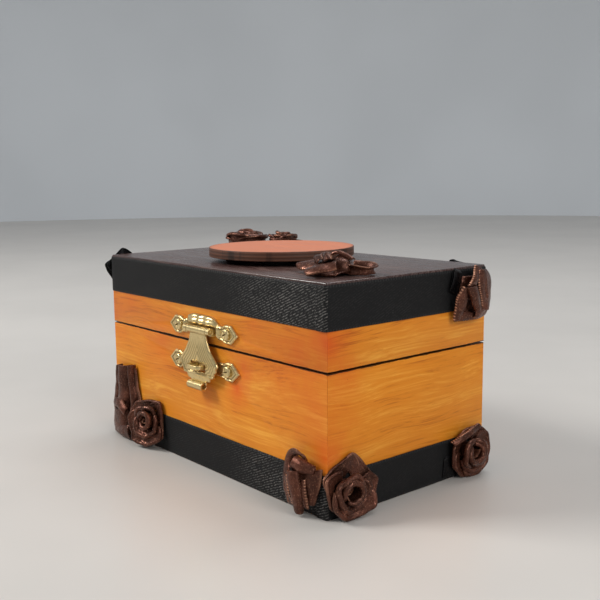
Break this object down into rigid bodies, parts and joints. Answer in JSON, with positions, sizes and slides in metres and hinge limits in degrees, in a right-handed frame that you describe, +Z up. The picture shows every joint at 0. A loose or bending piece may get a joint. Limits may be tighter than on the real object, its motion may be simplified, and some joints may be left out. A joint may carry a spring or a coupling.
{
  "type": "keepsake box",
  "caption": "Small hinged wooden keepsake box with black ribbon bands, brown satin ribbon roses, a round plaque on the lid and a brass swing hasp.",
  "frame": {"origin": "middle of the flat underside of the base, on the surface the box stands on", "axes": "+X to the right along the front (hasp) face, +Y to the back (hinge) face, +Z up"},
  "size_m": [0.1494, 0.0918, 0.0828],
  "materials": {
    "stained_wood": "orange stained and varnished, satin",
    "dark_wood": "dark brown stained, satin",
    "black_ribbon": "woven ribbon, dull sheen",
    "plaque_wood": "painted face, scorched edge",
    "foam": "dark closed cell foam",
    "brass": "stamped and polished",
    "brown_satin": "satin ribbon",
    "black_satin": "satin ribbon"
  },
  "bodies": {
    "base": {"base_bottom_panel": "stained_wood", "base_front_wall": "stained_wood", "base_back_wall": "stained_wood", "base_left_wall": "stained_wood", "base_right_wall": "stained_wood", "base_ribbon": "black_ribbon", "hasp_catch_plate": "brass", "hasp_staple": "brass", "hasp_catch_screws": "brass", "hinge_left_base_leaf": "brass", "hinge_left_pin": "brass", "hinge_right_base_leaf": "brass", "hinge_right_pin": "brass", "hinge_base_screws": "brass", "rose_right_front": "brown_satin", "rose_front_right": "brown_satin", "rose_front_left": "brown_satin", "rose_left_front": "brown_satin", "rose_right_back": "brown_satin", "rose_back_right": "brown_satin", "rose_back_left": "brown_satin", "rose_left_back": "brown_satin", "leaf_base_right": "black_satin", "ribbon_fold_left": "brown_satin"},
    "lid": {"lid_top_panel": "dark_wood", "lid_front_wall": "stained_wood", "lid_back_wall": "stained_wood", "lid_left_wall": "stained_wood", "lid_right_wall": "stained_wood", "lid_ribbon": "black_ribbon", "plaque": "plaque_wood", "plaque_pads": "foam", "hasp_lid_plate": "brass", "hasp_pin": "brass", "hasp_lid_screws": "brass", "hinge_left_lid_leaf": "brass", "hinge_right_lid_leaf": "brass", "hinge_lid_screws": "brass", "rose_lid_right": "brown_satin", "rose_lid_back": "black_satin", "rose_lid_left": "black_satin", "rose_lid_near": "brown_satin", "rose_lid_far": "brown_satin", "rose_lid_far_second": "brown_satin", "leaf_lid_right": "black_satin"},
    "flap": {"hasp_flap": "brass"}
  },
  "joints": [
    {"name": "lid_hinge", "type": "hinge", "parent": "base", "child": "lid", "pos_m": [0, 0.0403, 0.0476], "axis": [-1, 0, 0], "range_deg": [0, 135]},
    {"name": "hasp_swing", "type": "hinge", "parent": "lid", "child": "flap", "pos_m": [0, -0.0411, 0.053], "axis": [-1, 0, 0], "range_deg": [0, 150]}
  ]
}
